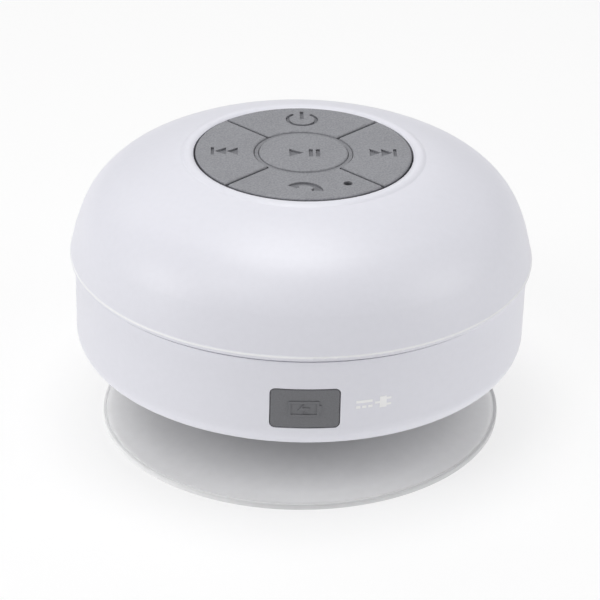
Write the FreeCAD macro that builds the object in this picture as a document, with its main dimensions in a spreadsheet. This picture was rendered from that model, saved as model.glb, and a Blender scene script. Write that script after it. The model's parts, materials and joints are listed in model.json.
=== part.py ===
import FreeCAD, Part
import math
import os
from types import SimpleNamespace

import Sketcher

# Shower speaker, millimetres. Origin at the centre of the suction cup's rim plane, +Z up to the
# keypad, port cover towards -Y. Every size below is in the sheet "dims"; the rest follows from them.

SHELL = {
    "lip_r": 43.0,           # widest point, on the small bead above the seam
    "lip_z": 34.35,          # crease between the bead and the dome
    "lip_low_r": 42.5,
    "lip_bead_r": 0.7,
    "ledge": 0.2,            # how far the crease lies inside the widest point
    "seam_z": 33.2,          # underside of the top shell
    "wall": 2.2,
    "dome_r1": 33.6,         # three tangent arcs, from the lip to the crease round the keypad
    "dome_r2": 15.4,
    "dome_r3": 40.2,
    "dome_a0": 9.7,
    "dome_a1": 21.6,
    "dome_a2": 60.5,
    "dome_a3": 78.3,
    "opening_r": 20.22,
    "opening_z": 53.24,
    "bead_r": 1.9,           # raised ring between the crease and the opening
    "flange_z": 51.0,        # flat underside that the keypad is pressed against
    "rim_z": 32.75,          # top of the bottom shell
    "band_top_r": 42.05,
    "band_low_r": 41.95,
    "corner_r": 4.2,
    "base_z": 14.8,
    "floor_z": 17.0,
    "inner_r": 39.5,
    "tongue_r": 40.5,
    "tongue_z": 34.5,
    "seal_in": 40.7,
    "seal_out": 41.4,
    "seal_low": 32.3,
    "boss_r": 9.5,           # round the suction cup's stud
    "boss_z": 12.65,
    "socket_r": 4.8,
    "socket_z": 17.7,
    "boss_top": 19.2,
    "boss_wall": 2.9,
    "inner_round": 3.0,
    "slot_in": 11.2,
    "slot_out": 16.8,
    "slot_w": 1.5,
    "slot_count": 24,
}
FASTENING = {
    "case_at": 33.4,
    "case_tube_r": 3.8,
    "case_boss_r": 2.9,
    "case_split": 28.0,
    "case_head_z": 26.0,
    "case_head_r": 2.3,
    "case_bore_r": 2.8,
    "case_post_top": 47.2,
    "case_hole": 10.0,
    "case_tip": 36.0,
    "post_at": 31.1,
    "post_r": 2.6,
    "tray_z": 36.6,
    "tray_thick": 1.4,
    "board_screw_at": 26.6,
    "board_boss_r": 2.3,
    "driver_screw_at": 22.1,
    "driver_boss_r": 1.9,
    "screw_r": 1.0,
    "small_screw_r": 0.65,
    "slack": 0.05,
}
PORT = {
    "port_z": 23.41,
    "cover_w": 12.2,
    "cover_h": 7.67,
    "cover_round": 0.9,
    "cover_gap": 0.15,
    "cover_edge": 0.25,
    "cover_back": 40.3,
    "recess_back": 40.2,
    "block_w": 18.0,
    "block_out": 40.5,
    "block_in": 37.3,
    "block_top": 30.0,
    "window_w": 9.8,
    "window_h": 5.6,
    "plug_back": 38.7,
    "relief": 0.15,
    "charge_z": 22.16,       # top of the charge board
    "board_thick": 1.2,
    "pin_at_x": 7.2,
    "pin_at_y": 28.5,
    "pin_r": 0.75,
    "pin_seat_r": 1.6,
}
KEYS = {
    "key_r": 19.85,
    "play_r": 8.2,
    "ring_r": 9.1,
    "groove": 0.5,
    "key_top": 53.6,
    "key_low": 51.45,
    "key_round": 0.35,
    "key_at": 14.5,
    "stem_r": 1.6,
    "web_z": 50.3,
    "web_r": 22.0,
    "web_rib_z": 53.1,
    "web_rib_half": 0.16,
    "web_ring_half": 0.35,   # the round wall between the centre key and the outer keys
    "web_ring_z": 53.3,
    "frame_z": 49.3,
    "frame_r": 24.0,
    "board_r": 29.5,
    "board_z": 47.6,         # top of the key board
    "switch_w": 5.2,
    "switch_z": 49.1,
    "plunger_z": 49.6,
    "plunger_r": 1.2,
    "mic_x": 7.7,
    "mic_y": 13.25,
    "mic_hole_r": 0.85,
    "mic_r": 2.0,
    "icon_deep": 0.4,
    "icon_h": 3.2,
}
DRIVER = {
    "mesh_z": 17.15,
    "gasket_z": 17.95,
    "driver_r": 20.0,
    "flange_thick": 0.8,
    "plate_z": 27.1,
    "plate_r": 13.0,
    "magnet_z": 29.1,
    "magnet_r": 13.5,
    "yoke_z": 34.1,
    "yoke_top": 36.1,
    "pole_r": 6.1,
    "gap_r": 7.2,
    "former_r": 6.35,
    "coil_r": 6.9,
    "cone_r": 15.0,
    "cone_z": 20.05,
    "neck_z": 24.9,
}
CUP = {
    "cup_r": 37.65,
    "cup_flat": 36.0,
    "rim_h": 0.97,           # the upright rim, with a fine groove inside it
    "cup_hollow": 7.0,
    "cup_skirt_r": 90.0,     # the skirt's hollow curve, from the rim up to the hub
    "hub_r": 12.5,
    "hub_z": 12.0,
    "stud_head_r": 5.0,
    "stud_head_z": 8.7,
    "stud_neck_r": 3.0,
    "stud_plug_r": 4.7,
    "stud_plug_z": 17.4,
    "stud_flange_r": 8.0,
}
BATTERY = {
    "cell_l": 35.0,
    "cell_w": 25.0,
    "cell_h": 5.0,
    "cell_z": 38.3,
    "lead_r": 0.45,
    "lead_x": 25.0,
    "lead_y": 25.0,
    "connector_z": 43.4,
}


class Size:
    """A number together with the sheet formula that gives it."""

    def __init__(self, value, text=None):
        self.value = float(value)
        self.text = text or "(%.6g)" % self.value

    def join(self, sign, other, value):
        return Size(value, "(%s %s %s)" % (self.text, sign, other.text))

    def __add__(self, other):
        other = as_size(other)
        return self.join("+", other, self.value + other.value)

    def __sub__(self, other):
        other = as_size(other)
        return self.join("-", other, self.value - other.value)

    def __mul__(self, other):
        other = as_size(other)
        return self.join("*", other, self.value * other.value)

    def __truediv__(self, other):
        other = as_size(other)
        return self.join("/", other, self.value / other.value)

    def __neg__(self):
        return self * -1

    def __radd__(self, other):
        return as_size(other) + self

    def __rsub__(self, other):
        return as_size(other) - self

    def __rmul__(self, other):
        return as_size(other) * self


def as_size(number):
    return number if isinstance(number, Size) else Size(number)


def cos(degrees):
    angle = as_size(degrees)
    return Size(math.cos(math.radians(angle.value)), "cos(%s)" % angle.text)


def sin(degrees):
    angle = as_size(degrees)
    return Size(math.sin(math.radians(angle.value)), "sin(%s)" % angle.text)


def root(square):
    return Size(math.sqrt(square.value), "sqrt(%s)" % square.text)


def make_sheet(groups):
    """One sheet cell for each driving dimension, and the same names as Sizes."""
    sheet = doc.addObject("Spreadsheet::Sheet", "dims")
    sizes = SimpleNamespace()
    row = 0
    for group in groups:
        for name, value in group.items():
            row += 1
            sheet.set("A%d" % row, name)
            sheet.set("B%d" % row, str(value))
            sheet.setAlias("B%d" % row, name)
            setattr(sizes, name, Size(value, "dims.%s" % name))
    return sizes


doc = FreeCAD.newDocument("shower_speaker")
d = make_sheet([SHELL, FASTENING, PORT, KEYS, DRIVER, CUP, BATTERY])
doc.recompute()
pieces = []


# ---------------------------------------------------------------- drawing helpers

class Bend:
    """An arc from one outline point to the next: turn 1 bulges right of travel, -1 left."""

    def __init__(self, radius, turn=1):
        self.radius = as_size(radius)
        self.turn = turn


def new_body(name):
    piece = doc.addObject("PartDesign::Body", name)
    piece.Label = name
    pieces.append(piece)
    return piece


def origin_feature(piece, role):
    return [item for item in piece.Origin.OriginFeatures if item.Role == role][0]


def new_sketch(piece, plane, base=(0, 0, 0)):
    """A sketch on one of the body's own planes, moved by base in the sketch's own axes."""
    sketch = piece.newObject("Sketcher::SketchObject", piece.Name + "_sketch")
    sketch.AttachmentSupport = (origin_feature(piece, plane), [""])
    sketch.MapMode = "FlatFace"
    for axis, value in zip("xyz", base):
        sketch.setExpression("AttachmentOffset.Base." + axis, as_size(value).text)
    return sketch


def arc_between(start, end, bend):
    """The minor arc from start to end, as geometry that always runs counter-clockwise."""
    radius = bend.radius.value
    chord = end - start
    middle = (start + end) * 0.5
    height = math.sqrt(max(radius ** 2 - (chord.Length / 2) ** 2, 0.0))
    side = FreeCAD.Vector(-chord.y, chord.x, 0).normalize() * bend.turn
    centre = middle + side * height
    first, last = (start, end) if bend.turn > 0 else (end, start)
    angles = [math.atan2(point.y - centre.y, point.x - centre.x) for point in (first, last)]
    circle = Part.Circle(centre, FreeCAD.Vector(0, 0, 1), radius)
    return Part.ArcOfCircle(circle, angles[0], angles[1])


def fix(sketch, kind, size, *where):
    number = sketch.addConstraint(Sketcher.Constraint(kind, *where, size.value))
    sketch.setExpression("Constraints[%d]" % number, size.text)


def fix_point(sketch, geometry, end, point):
    """Hold one point at its sheet-driven x and y; a zero puts it on the axis."""
    for kind, axis, size in (("DistanceX", -2, point[0]), ("DistanceY", -1, point[1])):
        if abs(size.value) < 1e-9:
            sketch.addConstraint(Sketcher.Constraint("PointOnObject", geometry, end, axis))
        else:
            fix(sketch, kind, size, -1, 1, geometry, end)


def draw(sketch, outline):
    """Add one closed outline of (x, y) points, with a Bend before any side that is an arc."""
    points = []
    bends = {}
    for item in outline:
        if isinstance(item, Bend):
            bends[len(points) - 1] = item
        else:
            points.append((as_size(item[0]), as_size(item[1])))
    first = sketch.GeometryCount
    count = len(points)
    ends = []
    for side in range(count):
        start, end = [FreeCAD.Vector(p[0].value, p[1].value, 0)
                      for p in (points[side], points[(side + 1) % count])]
        if side in bends:
            sketch.addGeometry(arc_between(start, end, bends[side]), False)
            ends.append((1, 2) if bends[side].turn > 0 else (2, 1))
        else:
            sketch.addGeometry(Part.LineSegment(start, end), False)
            ends.append((1, 2))
    for side in range(count):
        after = (side + 1) % count
        sketch.addConstraint(Sketcher.Constraint(
            "Coincident", first + side, ends[side][1], first + after, ends[after][0]))
    for side in range(count):
        fix_point(sketch, first + side, ends[side][0], points[side])
        if side in bends:
            fix(sketch, "Radius", bends[side].radius, first + side)


def draw_circle(sketch, spot, radius):
    radius = as_size(radius)
    spot = (as_size(spot[0]), as_size(spot[1]))
    centre = FreeCAD.Vector(spot[0].value, spot[1].value, 0)
    number = sketch.addGeometry(Part.Circle(centre, FreeCAD.Vector(0, 0, 1), radius.value), False)
    fix_point(sketch, number, 3, spot)
    fix(sketch, "Radius", radius, number)


def feature(piece, kind, sketch, **sizes):
    """A sketch-based feature of the body, with its sizes bound to the sheet."""
    made = piece.newObject("PartDesign::" + kind, "%s_%s" % (piece.Name, kind.lower()))
    made.Profile = sketch
    for name, size in sizes.items():
        made.setExpression(name, as_size(size).text)
    return made


def cut_feature(piece, kind, sketch, **sizes):
    """The same for a Pocket or Groove, which has to take something away."""
    doc.recompute()
    before = piece.Shape.Volume
    made = feature(piece, kind, sketch, **sizes)
    if kind == "Groove":
        made.ReferenceAxis = (sketch, ["V_Axis"])
    doc.recompute()
    if not piece.Shape.Volume < before - 1e-6:
        raise RuntimeError("%s in %s cuts nothing" % (kind, piece.Name))
    return made


def turned(piece, outline, spot=(0, 0)):
    """Turn an outline of (r, z) points about the vertical line through spot."""
    sketch = new_sketch(piece, "XZ_Plane", (spot[0], 0, -as_size(spot[1])))
    draw(sketch, outline)
    made = feature(piece, "Revolution", sketch, Angle=360)
    made.ReferenceAxis = (sketch, ["V_Axis"])
    return made


def level_sketch(piece, z, outlines, circles):
    sketch = new_sketch(piece, "XY_Plane", (0, 0, z))
    for outline in outlines:
        draw(sketch, outline)
    for spot, radius in circles:
        draw_circle(sketch, spot, radius)
    return sketch


def raised(piece, low, high, outlines=(), circles=()):
    """Add material between two heights."""
    sketch = level_sketch(piece, low, outlines, circles)
    return feature(piece, "Pad", sketch, Length=as_size(high) - low)


def sunk(piece, low, high, outlines=(), circles=()):
    """Take material away between two heights."""
    sketch = level_sketch(piece, high, outlines, circles)
    return cut_feature(piece, "Pocket", sketch, Length=as_size(high) - low)


def front_sketch(piece, out, outlines):
    """A sketch facing -Y at distance out from the axis."""
    sketch = new_sketch(piece, "XZ_Plane", (0, 0, out))
    for outline in outlines:
        draw(sketch, outline)
    return sketch


def front_raised(piece, near, far, outlines):
    """Add material from distance near to distance far in front of the axis."""
    return feature(piece, "Pad", front_sketch(piece, near, outlines), Length=as_size(far) - near)


def front_sunk(piece, near, far, outlines):
    """Take material away between those distances."""
    sketch = front_sketch(piece, far, outlines)
    return cut_feature(piece, "Pocket", sketch, Length=as_size(far) - near)


def round_edges(piece, radius, wanted):
    """Round the body's edges for which wanted(edge) is true."""
    doc.recompute()
    tip = piece.Tip
    names = ["Edge%d" % (i + 1) for i, edge in enumerate(tip.Shape.Edges) if wanted(edge)]
    made = piece.newObject("PartDesign::Fillet", piece.Name + "_fillet")
    made.Base = (tip, names)
    made.setExpression("Radius", as_size(radius).text)
    doc.recompute()
    return made


def box_outline(x, y, width, height):
    """A rectangle given by its centre."""
    x, y, half_w, half_h = as_size(x), as_size(y), as_size(width) * 0.5, as_size(height) * 0.5
    return [(x - half_w, y - half_h), (x + half_w, y - half_h),
            (x + half_w, y + half_h), (x - half_w, y + half_h)]


def round_box(x, y, width, height, radius):
    """A rectangle with rounded corners, given by its centre."""
    x, y, half_w, half_h = as_size(x), as_size(y), as_size(width) * 0.5, as_size(height) * 0.5
    radius = as_size(radius)
    left, right, low, high = x - half_w, x + half_w, y - half_h, y + half_h
    return [(left + radius, low), (right - radius, low), Bend(radius),
            (right, low + radius), (right, high - radius), Bend(radius),
            (right - radius, high), (left + radius, high), Bend(radius),
            (left, high - radius), (left, low + radius), Bend(radius)]


def on_circle(radius, degrees):
    return (radius * cos(degrees), radius * sin(degrees))


def ring_of(radius, count, start):
    """Evenly spaced spots on a circle about the axis."""
    return [on_circle(radius, start + 360.0 * i / count) for i in range(count)]


def at_each(spots, radius):
    return [(spot, radius) for spot in spots]


def group_of_boxes(name, low, high, boxes):
    piece = new_body(name)
    raised(piece, low, high, [box_outline(*box) for box in boxes])
    return piece


def bent_path(points, radius):
    """Straight runs joined by tangent arcs of one radius."""
    edges = []
    last = points[0]
    for before, corner, after in zip(points, points[1:], points[2:]):
        into = (corner - before).normalize()
        out = (after - corner).normalize()
        turn = into.getAngle(out)
        reach = radius * math.tan(turn / 2)
        start = corner - into * reach
        end = corner + out * reach
        middle = corner + (out - into).normalize() * (radius / math.cos(turn / 2) - radius)
        edges.append(Part.LineSegment(last, start).toShape())
        edges.append(Part.Arc(start, middle, end).toShape())
        last = end
    edges.append(Part.LineSegment(last, points[-1]).toShape())
    return Part.Wire(edges)


def leads(name, routes, bend):
    """A node of separate insulated wires, one for each route."""
    wires = []
    for route in routes:
        path = bent_path([FreeCAD.Vector(*[as_size(v).value for v in point]) for point in route],
                         as_size(bend).value)
        start = path.Edges[0]
        direction = start.tangentAt(start.FirstParameter)
        ring = Part.makeCircle(d.lead_r.value, path.Edges[0].Vertexes[0].Point, direction)
        tube = path.makePipeShell([Part.Wire(ring)], True, False)
        expected = math.pi * d.lead_r.value ** 2 * path.Length
        if abs(tube.Volume / expected - 1) > 0.02:
            raise RuntimeError("%s is not a clean tube" % name)
        wires.append(tube)
    piece = doc.addObject("Part::Feature", name)
    piece.Label = name
    piece.Shape = Part.makeCompound(wires)
    piece.Placement = FreeCAD.Placement()
    pieces.append(piece)


CASE_SPOTS = ring_of(d.case_at, 3, 90)
POST_SPOTS = ring_of(d.post_at, 4, 45)
BOARD_SPOTS = ring_of(d.board_screw_at, 4, 45)
DRIVER_SPOTS = ring_of(d.driver_screw_at, 4, 45)
KEY_SPOTS = [(0, 0)] + ring_of(d.key_at, 4, 0)
MIC_SPOT = (d.mic_x, -d.mic_y)


# ---------------------------------------------------------------- case

def dome_arcs(inset):
    """The dome's arcs as outline points from the lip to the crease, moved inwards by inset."""
    foot = d.lip_r - d.ledge
    first = (foot - d.dome_r1 * cos(d.dome_a0), d.lip_z - d.dome_r1 * sin(d.dome_a0))
    step = d.dome_r1 - d.dome_r2
    second = (first[0] + step * cos(d.dome_a1), first[1] + step * sin(d.dome_a1))
    step = d.dome_r2 - d.dome_r3
    third = (second[0] + step * cos(d.dome_a2), second[1] + step * sin(d.dome_a2))
    radii = [d.dome_r1 - inset, d.dome_r2 - inset, d.dome_r3 - inset]
    knots = [(first, radii[0], d.dome_a0), (first, radii[0], d.dome_a1),
             (second, radii[1], d.dome_a2), (third, radii[2], d.dome_a3)]
    points = [(c[0] + r * cos(a), c[1] + r * sin(a)) for c, r, a in knots]
    return points, radii


def top_shell():
    piece = new_body("top_shell")
    outer, outer_radii = dome_arcs(as_size(0))
    inner, inner_radii = dome_arcs(d.wall)
    turned(piece, [
        (inner[0][0], d.seam_z), (d.lip_low_r, d.seam_z), Bend(d.lip_bead_r), outer[0],
        Bend(outer_radii[0]), outer[1], Bend(outer_radii[1]), outer[2], Bend(outer_radii[2]),
        outer[3], Bend(d.bead_r), (d.opening_r, d.opening_z), (d.opening_r, d.flange_z),
        (inner[3][0], d.flange_z), inner[3], Bend(inner_radii[2], -1), inner[2],
        Bend(inner_radii[1], -1), inner[1], Bend(inner_radii[0], -1), inner[0]])
    raised(piece, d.case_split, d.case_post_top, circles=at_each(CASE_SPOTS, d.case_boss_r))
    sunk(piece, d.case_split, d.case_split + d.case_hole, circles=at_each(CASE_SPOTS, d.screw_r + d.slack))
    raised(piece, d.board_z, d.flange_z, circles=at_each(BOARD_SPOTS, d.board_boss_r))
    sunk(piece, d.board_z, d.board_z + 2.6, circles=at_each(BOARD_SPOTS, d.screw_r + d.slack))


def bottom_shell():
    piece = new_body("bottom_shell")
    corner_z = d.base_z + d.corner_r
    turned(piece, [
        (0, d.socket_z), (d.socket_r, d.socket_z), (d.socket_r, d.boss_z), (d.boss_r, d.boss_z),
        (d.boss_r, d.base_z), (d.band_low_r - d.corner_r, d.base_z), Bend(d.corner_r),
        (d.band_low_r, corner_z), (d.band_top_r, d.rim_z), (d.seal_out, d.rim_z),
        (d.seal_out, d.seal_low), (d.seal_in, d.seal_low), (d.seal_in, d.rim_z),
        (d.tongue_r, d.rim_z), (d.tongue_r, d.tongue_z), (d.inner_r, d.tongue_z),
        (d.inner_r, d.floor_z + d.inner_round), Bend(d.inner_round, -1),
        (d.inner_r - d.inner_round, d.floor_z), (d.boss_r - d.boss_wall, d.floor_z),
        (d.boss_r - d.boss_wall, d.boss_top), (0, d.boss_top)])
    root_z = d.floor_z - 0.1
    raised(piece, root_z, d.case_split, circles=at_each(CASE_SPOTS, d.case_tube_r))
    sunk(piece, d.base_z - 0.1, d.case_head_z, circles=at_each(CASE_SPOTS, d.case_bore_r))
    sunk(piece, d.case_head_z, d.case_split, circles=at_each(CASE_SPOTS, d.screw_r + 0.2))
    raised(piece, root_z, d.tray_z, circles=at_each(POST_SPOTS, d.post_r))
    sunk(piece, d.tray_z - 7, d.tray_z, circles=at_each(POST_SPOTS, d.screw_r + d.slack))
    raised(piece, root_z, d.gasket_z + d.flange_thick - d.slack,
           circles=at_each(DRIVER_SPOTS, d.driver_boss_r))
    sunk(piece, root_z, d.gasket_z + d.flange_thick,
         circles=at_each(DRIVER_SPOTS, d.small_screw_r + d.slack))
    pins = [(d.pin_at_x, -d.pin_at_y), (-d.pin_at_x, -d.pin_at_y)]
    raised(piece, root_z, d.charge_z - d.board_thick, circles=at_each(pins, d.pin_seat_r))
    raised(piece, root_z, d.charge_z + 0.6, circles=at_each(pins, d.pin_r))
    front_raised(piece, d.block_in, d.block_out, [
        box_outline(0, (d.block_top + root_z) * 0.5, d.block_w, d.block_top - root_z)])
    front_sunk(piece, d.recess_back, d.lip_r, [
        round_box(0, d.port_z, d.cover_w + d.cover_gap * 2, d.cover_h + d.cover_gap * 2,
                  d.cover_round + d.cover_gap)])
    front_sunk(piece, d.block_in - 0.5, d.lip_r, [
        round_box(0, d.port_z, d.window_w, d.window_h, 0.8)])
    doc.recompute()
    end_r = d.slot_w * 0.53
    half = d.slot_w * 0.5
    slot = sunk(piece, d.base_z - 0.1, d.floor_z + 0.1, [[
        (d.slot_in + half, -half), (d.slot_out - half, -half), Bend(end_r),
        (d.slot_out - half, half), (d.slot_in + half, half), Bend(end_r)]])
    pattern = piece.newObject("PartDesign::PolarPattern", "slot_ring")
    pattern.Originals = [slot]
    pattern.Axis = (origin_feature(piece, "Z_Axis"), [""])
    pattern.Angle = 360
    pattern.Occurrences = int(d.slot_count.value)
    piece.Tip = pattern


def shell_seal():
    turned(new_body("shell_seal"), [
        (d.seal_in + 0.02, d.seal_low), (d.seal_out - 0.02, d.seal_low),
        (d.seal_out - 0.02, d.seam_z), (d.seal_in + 0.02, d.seam_z)])


def cross_outline(x, y, arm, width):
    """The twelve corners of a cross with its middle at x, y."""
    corners = []
    for i, j in ((1, -1), (1, 1), (-1, 1), (-1, -1)):
        quarter = [(x + i * width, y + j * arm), (x + i * width, y + j * width),
                   (x + i * arm, y + j * width)]
        corners += quarter if i == -j else quarter[::-1]
    return corners


def screws(name, spots, seat, shaft_end, shaft_r, head_r, head_h):
    """Pan-head screws with a cross recess; the head sits on the far side of seat from the tip."""
    piece = new_body(name)
    seat, shaft_end = as_size(seat), as_size(shaft_end)
    up = shaft_end.value > seat.value
    head = seat - head_h if up else seat + head_h
    raised(piece, *((head, seat) if up else (seat, head)), circles=at_each(spots, head_r))
    raised(piece, *((seat, shaft_end) if up else (shaft_end, seat)),
           circles=at_each(spots, shaft_r))
    arm, width = as_size(head_r) * 0.55, as_size(head_r) * 0.13
    cross = [cross_outline(x, y, arm, width) for x, y in spots]
    deep = as_size(head_h) * 0.5
    sunk(piece, *((head, head + deep) if up else (head - deep, head)), outlines=cross)


# ---------------------------------------------------------------- port

def band_trim(piece, proud):
    """Cut away whatever stands further out than the band's surface plus proud."""
    sketch = new_sketch(piece, "XZ_Plane")
    corner_z = d.base_z + d.corner_r
    draw(sketch, [(d.band_low_r + proud, corner_z), (d.lip_r + 5, corner_z),
                  (d.lip_r + 5, d.rim_z), (d.band_top_r + proud, d.rim_z)])
    return cut_feature(piece, "Groove", sketch, Angle=360)


def battery_icon():
    """A battery outline with a spark inside: sides, terminal and zigzag as raised strips."""
    z = d.port_z
    return [
        [(-2.9, z - 1.5), (2.5, z - 1.5), (2.5, z - 0.7), (2.9, z - 0.7), (2.9, z + 0.7),
         (2.5, z + 0.7), (2.5, z + 1.5), (-2.9, z + 1.5)],
        [(-2.5, z - 1.1), (-2.5, z + 1.1), (2.1, z + 1.1), (2.1, z - 1.1)],
        [(-1.3, z - 0.25), (0.1, z - 0.25), (-0.2, z - 0.95), (0.9, z + 0.25), (-0.5, z + 0.25),
         (-0.2, z + 0.95)]]


def port_cover():
    piece = new_body("port_cover")
    front_raised(piece, d.cover_back, d.lip_r, [
        round_box(0, d.port_z, d.cover_w, d.cover_h, d.cover_round)])
    band_trim(piece, as_size(0))
    face_y = -(d.band_low_r.value - 1.0)
    round_edges(piece, d.cover_edge, lambda edge: edge.BoundBox.YMin < face_y
                and edge.BoundBox.YMax < face_y)
    front_raised(piece, d.plug_back, d.cover_back, [round_box(0.2, d.port_z, 7.6, 4.4, 0.8)])
    front_raised(piece, d.cover_back + 0.2, d.lip_r, battery_icon())
    band_trim(piece, d.relief)


def cover_strap():
    """The thin tie behind the cover, with a barb that catches behind the port block."""
    z = d.port_z + 0.3
    piece = new_body("cover_strap")
    front_raised(piece, d.block_in - 0.1, d.cover_back, [box_outline(-4.5, z, 0.5, 2.6)])
    front_raised(piece, d.block_in - 0.6, d.block_in - 0.1, [box_outline(-5.25, z, 2.0, 2.6)])


def charge_board():
    piece = new_body("charge_board")
    low = d.charge_z - d.board_thick
    raised(piece, low, d.charge_z, [box_outline(0, -31.35, 18, 11.5)])
    pins = [(d.pin_at_x, -d.pin_at_y), (-d.pin_at_x, -d.pin_at_y)]
    sunk(piece, low, d.charge_z, circles=at_each(pins, d.pin_r + 0.1))


def charging_socket():
    """A micro size socket: folded steel shell and the plastic tongue inside it."""
    def shape(inset, bottom):
        low, high = d.charge_z + bottom, d.charge_z + 2.5 - inset
        wide, narrow = as_size(3.75) - inset, as_size(2.7) - inset
        return [(-narrow, low), (narrow, low), (wide, low + 0.8), (wide, high),
                (-wide, high), (-wide, low + 0.8)]
    shell = new_body("socket_shell")
    front_raised(shell, 32.6, 38.2, [shape(0, 0)])
    front_sunk(shell, 33.0, 38.2, [shape(0.3, 0.3)])
    tongue = new_body("socket_tongue")
    front_raised(tongue, 33.0, 37.8, [box_outline(0, d.charge_z + 1.65, 5.4, 0.6)])


# ---------------------------------------------------------------- keys

def triangle(tip_x, base_x, y, height):
    """An icon arrow with its tip at tip_x and its upright side at base_x."""
    return [(tip_x, y), (base_x, y - height * 0.5), (base_x, y + height * 0.5)]


def skip_icon(x, way):
    """Two arrows and a bar, pointing along way (1 or -1)."""
    height = d.icon_h
    return [triangle(x - 0.35 * way, x - 2.45 * way, 0, height),
            triangle(x + 1.8 * way, x - 0.3 * way, 0, height),
            box_outline(x + 2.2 * way, 0, 0.6, height)]


def play_icon():
    y = -0.4
    return [triangle(0.1, -2.6, y, d.icon_h), box_outline(1.35, y, 0.75, d.icon_h),
            box_outline(2.65, y, 0.75, d.icon_h)]


def ring_part(centre, radius_in, radius_out, start, end):
    """A stretch of ring, its arcs split in two so that each is a minor arc."""
    half = (start + end) / 2
    spots = [(radius_out, start), (radius_out, half), (radius_out, end),
             (radius_in, end), (radius_in, half), (radius_in, start)]
    corners = [(centre[0] + r * cos(a), centre[1] + r * sin(a)) for r, a in spots]
    return [corners[0], Bend(radius_out), corners[1], Bend(radius_out), corners[2],
            corners[3], Bend(radius_in, -1), corners[4], Bend(radius_in, -1), corners[5]]


def power_icon():
    centre = (as_size(0), d.key_at)
    return [ring_part(centre, 2.35, 3.05, 125, 415), box_outline(0, d.key_at + 1.8, 0.7, 3.4)]


def call_icon():
    """A telephone handset: a bow with a foot turned in at each end."""
    x, y = -0.3, -16.4

    def at(radius, degrees):
        return (x + radius * cos(degrees), y + radius * sin(degrees))

    back, bow, foot = 3.5, 2.1, 1.5
    return [[at(back, 0), Bend(back), at(back, 145), at(foot, 148), at(foot, 122), at(bow, 118),
             Bend(bow, -1), at(bow, 28), at(foot, 24), at(foot, -6)]]


def key_plate(angle):
    """One of the four outer keys, between the grooves on both sides of angle."""
    half = d.groove * 0.5

    def corner(radius, side):
        along = root(radius * radius - half * half)
        line = angle + 45 * side
        return (along * cos(line) + half * side * sin(line),
                along * sin(line) - half * side * cos(line))
    return [corner(d.ring_r, -1), corner(d.key_r, -1), Bend(d.key_r), corner(d.key_r, 1),
            corner(d.ring_r, 1), Bend(d.ring_r, -1)]


def key(name, spot, icon, plate=None):
    piece = new_body(name)
    if plate:
        raised(piece, d.key_low, d.key_top, [plate])
    else:
        raised(piece, d.key_low, d.key_top, circles=[(spot, d.play_r)])
    low, high = d.key_low.value + 0.01, d.key_top.value - 0.01
    round_edges(piece, d.key_round, lambda edge: edge.BoundBox.ZMax > high
                and (edge.BoundBox.ZMin > high or edge.BoundBox.ZMin < low))
    raised(piece, d.plunger_z, d.key_low, circles=[(spot, d.stem_r)])
    sunk(piece, d.key_top - d.icon_deep, d.key_top, icon)
    return piece


def keys():
    key("key_play", (0, 0), play_icon())
    at = ring_of(d.key_at, 4, 0)
    key("key_next", at[0], skip_icon(14.6, 1), key_plate(0))
    key("key_power", at[1], power_icon(), key_plate(90))
    key("key_previous", at[2], skip_icon(-14.5, -1), key_plate(180))
    call = key("key_call", at[3], call_icon(), key_plate(270))
    sunk(call, d.key_low, d.key_top, circles=[(MIC_SPOT, d.mic_hole_r)])


def keypad_web():
    """The thin sheet under the keys, with low walls standing in the grooves."""
    piece = new_body("keypad_web")
    raised(piece, d.web_z, d.flange_z, circles=[((0, 0), d.web_r)])
    sunk(piece, d.web_z, d.flange_z,
         circles=at_each(KEY_SPOTS, d.stem_r + 0.3) + [(MIC_SPOT, 2.8)])
    rib, ring = d.web_rib_half, d.web_ring_half
    middle = (d.play_r + d.ring_r) * 0.5
    raised(piece, d.flange_z, d.web_ring_z,
           circles=[((0, 0), middle + ring), ((0, 0), middle - ring)])
    for angle in (45, 135, 225, 315):
        near, far = middle, d.key_r - 0.2
        wall = [(r * cos(angle) - rib * side * sin(angle), r * sin(angle) + rib * side * cos(angle))
                for r, side in ((near, -1), (far, -1), (far, 1), (near, 1))]
        raised(piece, d.flange_z, d.web_rib_z, [wall])


def keypad_frame():
    """The stiff disc that presses the web against the shell and stands on the key board."""
    piece = new_body("keypad_frame")
    turned(piece, [(0, d.frame_z), (d.frame_r - 1.2, d.frame_z), (d.frame_r - 1.2, d.board_z),
                   (d.frame_r, d.board_z), (d.frame_r, d.web_z), (0, d.web_z)])
    sunk(piece, d.frame_z, d.web_z, circles=at_each(KEY_SPOTS, 2.6) + [(MIC_SPOT, 2.9)])


def key_board():
    piece = new_body("key_board")
    low = d.board_z - d.board_thick
    raised(piece, low, d.board_z, circles=[((0, 0), d.board_r)])
    sunk(piece, low, d.board_z, circles=at_each(BOARD_SPOTS, d.screw_r + 0.15))


def key_switches():
    piece = new_body("key_switches")
    raised(piece, d.board_z, d.switch_z,
           [round_box(x, y, d.switch_w, d.switch_w, 0.5) for x, y in KEY_SPOTS])
    sunk(piece, d.board_z + 0.35, d.switch_z, circles=at_each(KEY_SPOTS, d.plunger_r + 0.15))
    for name, spot in zip(("play", "next", "power", "previous", "call"), KEY_SPOTS):
        plunger = new_body("plunger_" + name)
        raised(plunger, d.board_z + 0.75, d.plunger_z, circles=[(spot, d.plunger_r)])


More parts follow.
